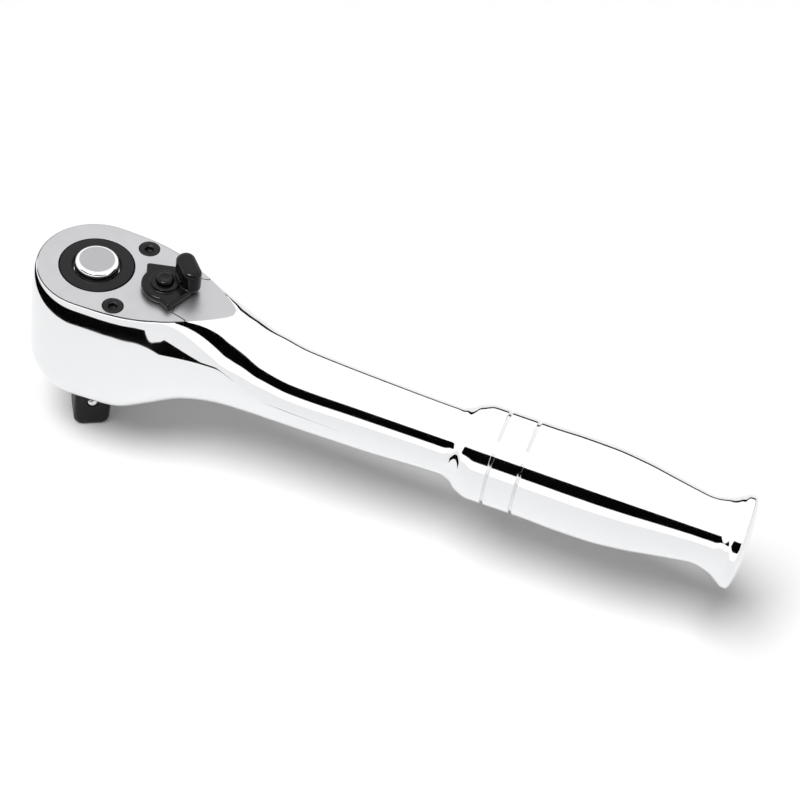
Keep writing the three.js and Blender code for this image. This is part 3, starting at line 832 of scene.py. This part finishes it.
def drive_rings():
    rounded_tip = [(3.3, 0.0, 0.6), (3.95, 0.12, 0.56), (4.35, 0.45, 0.5), (4.6, 1.0, 0.44),
                   (4.72, 1.8, 0.38), (DRIVE_HALF, 3.0, 0.32), (DRIVE_HALF, 5.0, 0.26)]
    tang = [(square(corner), size, z) for size, z, corner in rounded_tip]
    tang += [(square(0.24), DRIVE_HALF, z) for z in (7.0, 11.0, HEAD_BOTTOM)]
    outside = [(6.95, HEAD_BOTTOM), (7.2, HEAD_BOTTOM + 0.25), (7.2, GEAR_Z),
               (GEAR_ROOT_RADIUS, GEAR_Z), (GEAR_ROOT_RADIUS, GEAR_TOP), (RING_RADIUS, GEAR_TOP),
               (RING_RADIUS, TOP - 1.75), (8.75, TOP - 1.75), (8.75, TOP - 0.85),
               (RING_RADIUS, TOP - 0.85), (RING_RADIUS, RING_TOP - 0.32),
               (RING_RADIUS - 0.1, RING_TOP - 0.1), (RING_RADIUS - 0.32, RING_TOP)]
    inside = [(CUP_RADIUS + 0.22, RING_TOP), (CUP_RADIUS, RING_TOP - 0.22),
              (CUP_RADIUS, TOP - 0.5), (6.7, TOP - 0.5), (6.7, TOP - 1.4),
              (CUP_RADIUS, TOP - 1.4), (CUP_RADIUS, CUP_FLOOR), (ROD_BORE, CUP_FLOOR),
              (ROD_BORE, 2.6), (0.3, 2.0)]
    return tang + [(circle, radius, z) for radius, z in [*outside, *inside]]


def lying_disc(name, radius, start, reach, height):
    """A round tool that points the way the ball looks."""
    made = disc(name, radius, start, reach, sides=48)
    lay = Matrix.Rotation(DRIVE_TURN, 4, "Z") @ Matrix.Rotation(math.pi / 2, 4, "Y")
    made.data.transform(Matrix.Translation((0, 0, height * MM)) @ lay)
    return made


drive = loft("drive", drive_rings(), 240)
cut(drive, lying_disc("ball_hole", BALL_RADIUS + 0.1, 0.5, 12, BALL_Z))
modified(drive, "BEVEL", width=0.1 * MM, segments=2, limit_method="ANGLE",
         angle_limit=math.radians(50))
print("drive blank:", len(drive.data.polygons), "faces")

# %% [markdown]
# ## The gear's teeth
#
# Thirty-six straight teeth stand on the gear's root circle. One tooth is a small wedge, and the
# node tree copies it round a circle of points. The teeth hide in the head, but they are what
# the pawl bites, so a cut-away view is right.

# %% Gear teeth
def tooth_blank():
    root, tip = math.radians(3.9), math.radians(0.9)
    low, high = GEAR_ROOT_RADIUS - 0.15, GEAR_TIP_RADIUS
    outline = [(radius * math.cos(angle) - low, radius * math.sin(angle))
               for radius, angle in ((low, -root), (high, -tip), (high, tip), (low, root))]
    return prism("one_tooth", outline, GEAR_Z, GEAR_TOP)


def teeth_rule(board, inputs):
    circle_points = board.add("GeometryNodeMeshCircle", None, {
        "Vertices": inputs["Teeth"], "Radius": inputs["Root radius"]})
    step = inputs["Teeth"].math("DIVIDE", 2 * math.pi, inputs["Teeth"])
    return ringed(board, circle_points, object_shape(board, inputs["Tooth"]), 0.0, step)


one_tooth = tooth_blank()
teeth = grown("gear_teeth", {"Tooth": one_tooth, "Teeth": GEAR_TEETH,
                             "Root radius": (GEAR_ROOT_RADIUS - 0.15) * MM}, teeth_rule, black_oxide)
drop(one_tooth)
mounted(settled(drive, black_oxide, 28), "drive", "black_oxide", "drive_gear")
mounted(settled(teeth, black_oxide), "drive", "black_oxide")

# %% [markdown]
# ## Rings and seals
#
# An O-ring is a circle swept round a circle, and a snap ring is a flat bar swept round most of
# one. Both are curves in Geometry Nodes, so their sizes stay open to change.

# %% Rings and seals
def seal_rule(board, inputs):
    path = board.add("GeometryNodeCurvePrimitiveCircle", None, {
        "Resolution": 128, "Radius": inputs["Ring radius"]})
    ring = wire_along(board, path, inputs["Section radius"], 20)
    return moved(board, ring, inputs["X"], 0.0, inputs["Height"])


def snap_rule(board, inputs):
    path = board.add("GeometryNodeCurveArc", None, {
        "Resolution": 96, "Radius": inputs["Ring radius"], "Start Angle": inputs["Start"],
        "Sweep Angle": inputs["Sweep"]})
    bar = board.add("GeometryNodeCurvePrimitiveQuadrilateral", None, {
        "Width": inputs["Bar width"], "Height": inputs["Bar height"]})
    ring = board.add("GeometryNodeCurveToMesh", None, {
        "Curve": path, "Profile Curve": bar, "Fill Caps": True})
    return moved(board, ring, 0.0, 0.0, inputs["Height"])


gear_seal = grown("gear_seal", {"Ring radius": 9.18 * MM, "Section radius": 0.34 * MM, "X": 0.0,
                                "Height": (TOP - 1.3) * MM}, seal_rule, rubber_seal)
selector_seal = grown("selector_seal", {"Ring radius": 2.56 * MM, "Section radius": 0.28 * MM,
                                        "X": SELECTOR_X * MM, "Height": (COVER_Z + 1.1) * MM},
                      seal_rule, rubber_seal)
snap_ring = grown("snap_ring", {"Ring radius": 6.14 * MM, "Start": math.radians(152),
                                "Sweep": math.radians(336), "Bar width": 0.78 * MM,
                                "Bar height": 0.66 * MM, "Height": (TOP - 0.95) * MM},
                  snap_rule, black_oxide)
mounted(settled(gear_seal, rubber_seal), "drive", "rubber_seal", "gear_o_ring")
mounted(settled(selector_seal, rubber_seal), "selector", "rubber_seal", "selector_o_ring")
mounted(settled(snap_ring, black_oxide), "drive", "black_oxide", "button_snap_ring")

# %% [markdown]
# ## Springs
#
# A coil spring is a round wire swept along a helix. The release spring pushes the button up,
# and the small one pushes the selector's plunger out of its stem. A spring can't follow the
# button as a rigid piece would; here the release spring keeps one length and rides on the drive.

# %% Springs
SELECTOR_TURN = math.radians(42)
PLUNGER_Z = (FLOOR_Z + BODY_TOP) / 2
FLANGE_LOW, FLANGE_HIGH = TOP - 2.7, TOP - 1.5


def spring_rule(board, inputs):
    helix = board.add("GeometryNodeCurveSpiral", None, {
        "Resolution": 40, "Rotations": inputs["Turns"], "Start Radius": inputs["Coil radius"],
        "End Radius": inputs["Coil radius"], "Height": inputs["Length"]})
    coil = wire_along(board, helix, inputs["Wire radius"], 12)
    centred = moved(board, coil, z=inputs["Start"])
    laid = moved(board, centred, tilt=inputs["Tilt"])
    return moved(board, laid, x=inputs["X"], z=inputs["Z"], turn=inputs["Turn"])


def spring(name, turns, radius, wire, start, length, x=0.0, z=0.0, tilt=0.0, turn=0.0):
    sizes = {"Turns": float(turns), "Coil radius": radius * MM, "Wire radius": wire * MM,
             "Start": start * MM, "Length": length * MM, "X": x * MM, "Z": z * MM,
             "Tilt": tilt, "Turn": turn}
    return settled(grown(name, sizes, spring_rule, spring_steel), spring_steel)


coil_low = CUP_FLOOR + 0.5
coil_length = FLANGE_LOW - 0.5 - coil_low
release_coil = spring("release_coil", 3.5, 3.9, 0.35, coil_low, coil_length)
plunger_coil = spring("plunger_coil", 5, 0.6, 0.14, -1.8, 4, SELECTOR_X, PLUNGER_Z,
                      -math.pi / 2, SELECTOR_TURN)
mounted(release_coil, "drive", "spring_steel", "release_spring")
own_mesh(release_coil)
mounted(plunger_coil, "selector", "spring_steel", "selector_spring")

# %% [markdown]
# ## Button and ball
#
# The button's cap is turned, with a rolled edge that throws a bright crescent and a crown that
# is faintly domed. The ball is ground steel, held in by the staked rim of its hole.

# %% Button and ball
BUTTON_RADIUS = 5.55
BUTTON_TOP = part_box("release_button")[1].z / MM


def button_rings():
    edge, dome = 1.15, 0.14
    flat = BUTTON_RADIUS - edge
    rolled = [(flat + edge * math.cos(math.radians(a)),
               BUTTON_TOP - dome - edge * (1 - math.sin(math.radians(a)))) for a in range(0, 86, 5)]
    crown = [(flat * share, BUTTON_TOP - dome * share ** 2) for share in (0.8, 0.6, 0.4, 0.2, 0.05)]
    skirt = [(5.9, FLANGE_LOW), (6.0, FLANGE_LOW + 0.1), (6.0, FLANGE_HIGH - 0.1),
             (5.9, FLANGE_HIGH), (BUTTON_RADIUS, FLANGE_HIGH)]
    bore = [(0.1, TOP - 0.2), (1.6, TOP - 0.2), (1.6, FLANGE_LOW)]
    return [(circle, radius, z) for radius, z in [*bore, *skirt, *rolled, *crown]]


def ball_mesh():
    reach = DRIVE_HALF + 0.7 - BALL_RADIUS
    centre = Vector((reach * math.cos(DRIVE_TURN), reach * math.sin(DRIVE_TURN), BALL_Z)) * MM
    mesh = bpy.data.meshes.new("detent_ball")
    shape = bmesh.new()
    bmesh.ops.create_icosphere(shape, subdivisions=5, radius=BALL_RADIUS * MM,
                               matrix=Matrix.Translation(centre))
    shape.to_mesh(mesh)
    shape.free()
    made = bpy.data.objects.new("detent_ball", mesh)
    bpy.context.collection.objects.link(made)
    return made


button = settled(loft("button_cap", button_rings(), 160), button_chrome, 40)
mounted(button, "button", "button_chrome", "release_button")
mounted(settled(ball_mesh(), ball_steel), "ball", "ball_steel", "drive_ball")

# %% [markdown]
# ## The selector's lever and stem
#
# The lever is a small die casting: a shield-shaped base, a round hub and a raised paddle for the
# thumb, with soft fillets where they meet. Fillets like these are easiest to get by joining the
# plain blocks with a fine voxel remesh and then smoothing it a little. The bore for the stem is
# cut last, so its edge stays crisp.

# %% Lever and stem
LEVER_Z = TOP + 0.2


def selector_frame():
    return Matrix.Translation((SELECTOR_X * MM, 0, 0)) @ Matrix.Rotation(SELECTOR_TURN, 4, "Z")


def pillow(name, outline, low, high, edge, segments):
    """A block with its upper and lower edges rounded."""
    made = prism(name, outline, low, high)
    caps = [e.index for e in made.data.edges
            if abs(made.data.vertices[e.vertices[0]].co.z - made.data.vertices[e.vertices[1]].co.z)
            < 1e-6]
    weights = made.data.attributes.new("bevel_weight_edge", "FLOAT", "EDGE")
    for index in caps:
        weights.data[index].value = 1.0
    return modified(made, "BEVEL", width=edge * MM, segments=segments, limit_method="WEIGHT")


def lever_blocks():
    shield = [*arc((0, 0), 5.9, 122, 238, 30), (-2.1, -7.7), (-1.5, -7.9), (5.2, -4.6),
              *arc((5, 0), 3.5, -50, 50, 20), (5.2, 4.6), (-1.5, 7.9), (-2.1, 7.7)]
    paddle = [*arc((6.2, 2.3), 2.4, 0, 110, 14), *arc((5.9, 2.3), 2.3, 112, 180, 8),
              *arc((5.9, -2.3), 2.3, 180, 248, 8), *arc((6.2, -2.3), 2.4, 250, 360, 14)]
    yield pillow("lever_base", shield, LEVER_Z, LEVER_Z + 1.9, 0.45, 3)
    yield disc("lever_hub", 3.7, LEVER_Z + 0.5, LEVER_Z + 2.65)
    yield pillow("lever_paddle", paddle, LEVER_Z + 0.3, LEVER_Z + 7, 1.3, 6)


def joined(name, parts):
    """One mesh from several closed blocks that overlap."""
    shape = bmesh.new()
    for part in parts:
        shape.from_mesh(part.data)
    mesh = bpy.data.meshes.new(name)
    shape.to_mesh(mesh)
    shape.free()
    drop(*parts)
    made = bpy.data.objects.new(name, mesh)
    bpy.context.collection.objects.link(made)
    return made


lever = joined("thumb_lever", list(lever_blocks()))
modified(lever, "REMESH", mode="VOXEL", voxel_size=0.13 * MM)
modified(lever, "SMOOTH", factor=0.5, iterations=7)
cut(lever, disc("stem_bore", 2.35, LEVER_Z - 1, TOP + 9))
lever.data.transform(selector_frame())
mounted(settled(lever, gloss_black, 45), "selector", "gloss_black", "selector_lever")

stem_top = LEVER_Z + 3.8
stem_rings = [(1.7, FLOOR_Z - 1.2), (1.9, FLOOR_Z - 1), (1.9, FLOOR_Z + 0.3), (2.7, FLOOR_Z + 0.3),
              (2.9, FLOOR_Z + 0.5), (2.9, BODY_TOP - 0.5), (2.7, BODY_TOP - 0.3),
              (2.2, BODY_TOP - 0.3), (2.2, stem_top - 0.5), (2.13, stem_top - 0.25),
              (1.95, stem_top - 0.08), (1.7, stem_top), (1.2, stem_top - 0.06),
              (0.6, stem_top - 0.22), (0.1, stem_top - 0.26)]
stem = loft("selector_shaft", [(circle, radius, z) for radius, z in stem_rings], 96)
bore = disc("plunger_bore", 1.45, -2.1, 6, sides=48)
lay_back = Matrix.Rotation(-math.pi / 2, 4, "Y")
bore.data.transform(Matrix.Translation((0, 0, PLUNGER_Z * MM)) @ lay_back)
cut(stem, bore)
stem.data.transform(selector_frame())
mounted(settled(stem, gloss_black, 40), "selector", "gloss_black", "selector_stem")

# %% [markdown]
# ## Parts that keep their working shape
#
# The washer, the rod, the pawl and the plunger already have the right shape, and the head hides
# them. They keep their meshes and take a finish with tool marks.

# %% Finishes for the working parts
WORKING_PARTS = {"thrust_washer": bare_steel, "release_rod": bare_steel, "pawl": dark_steel,
                 "selector_plunger": bare_steel}
for node, material in WORKING_PARTS.items():
    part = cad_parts[node]
    for place in part.material_slots:
        place.material = material
    print(node, "has the finish", material.name)

# %% [markdown]
# ## Studio
#
# Polished chrome has no colour of its own: it shows the room. A white tent all round makes it
# white, and black flags make the hard dark lines that let the eye read its shape. The flags are
# seen only in reflections. The tent is the world, bright to reflections, softer as light, and
# plain to the camera. One wide sun, high on the camera's side, throws the soft shadow on the
# table. Its spread and its turn are in degrees.

# %% Studio
def flag(name, path, low, high):
    """An upright black card over a path of (x, y) points, in metres. Only reflections see it."""
    count = len(path)
    points = [(x, y, z) for z in (low, high) for x, y in path]
    walls = [(i, i + 1, count + i + 1, count + i) for i in range(count - 1)]
    mesh = bpy.data.meshes.new(name)
    mesh.from_pydata(points, [], walls)
    card = bpy.data.objects.new(name, mesh)
    bpy.context.collection.objects.link(card)
    card.visible_camera = False
    card.visible_shadow = False
    card.visible_diffuse = False
    card.visible_transmission = False
    black = bpy.data.materials.new(name + "_black")
    black.use_nodes = True
    shader = black.node_tree.nodes["Principled BSDF"]
    shader.inputs["Base Color"].default_value = (0.003, 0.003, 0.003, 1)
    shader.inputs["Specular IOR Level"].default_value = 0
    card.data.materials.append(black)
    return card


def rising(distance, elevation):
    """The height above the handle's axis of a direction at that distance, in metres."""
    return AXIS_Z * MM + distance * math.tan(math.radians(elevation))


FRONT, BEHIND, HEAD_RING = 0.9, 0.3, 0.073
flag("front_slit", [(-1.6, -FRONT), (2.2, -FRONT)], rising(FRONT, 20), rising(FRONT, 46))
flag("far_line", [(-0.8, BEHIND), (1.2, BEHIND)], 0.0, rising(BEHIND, 2))
flag("head_ring", arc((0, 0), HEAD_RING, 140, 300, 40), 0.0, 0.024)


TENT_AS_LIGHT, MORE_IN_REFLECTIONS, MORE_TO_CAMERA = 0.26, 1.0, 0.8
LAMP_SPREAD, LAMP_STRENGTH, LAMP_TURN = 30, 2.9, (21, -11, 0)


def white_tent():
    world = bpy.data.worlds.new("tent")
    world.use_nodes = True
    bpy.context.scene.world = world
    board = Board(world.node_tree)
    world.node_tree.nodes.clear()
    camera_ray = board.add("ShaderNodeLightPath", None, None, "Is Camera Ray")
    glossy_ray = board.add("ShaderNodeLightPath", None, None, "Is Glossy Ray")
    strength = TENT_AS_LIGHT + glossy_ray * MORE_IN_REFLECTIONS + camera_ray * MORE_TO_CAMERA
    glow = board.add("ShaderNodeBackground", None, {
        "Color": (1, 1, 1, 1), "Strength": strength})
    board.add("ShaderNodeOutputWorld", None, {"Surface": glow})


def soft_lamp():
    """A wide sun, high on the camera's side. Being a sun, it lights the table evenly."""
    data = bpy.data.lights.new("soft_lamp", "SUN")
    data.angle = math.radians(LAMP_SPREAD)
    data.energy = LAMP_STRENGTH
    lamp = bpy.data.objects.new("soft_lamp", data)
    bpy.context.collection.objects.link(lamp)
    lamp.rotation_euler = [math.radians(angle) for angle in LAMP_TURN]
    return lamp


def table_top():
    mesh = bpy.data.meshes.new("table_top")
    reach = 4.0
    mesh.from_pydata([(-reach, -reach, 0), (reach, -reach, 0), (reach, reach, 0),
                      (-reach, reach, 0)], [], [(0, 1, 2, 3)])
    table = bpy.data.objects.new("table_top", mesh)
    bpy.context.collection.objects.link(table)
    paper = Finish("pale_paper", (0.9, 0.9, 0.9), 0.0, 0.9)
    paper.set("Specular IOR Level", 0.0)
    mesh.materials.append(paper.material)
    return table


white_tent()
soft_lamp()
table_top()
bpy.context.scene.view_settings.view_transform = "Standard"
print("studio: a white tent, three black flags and one soft lamp")
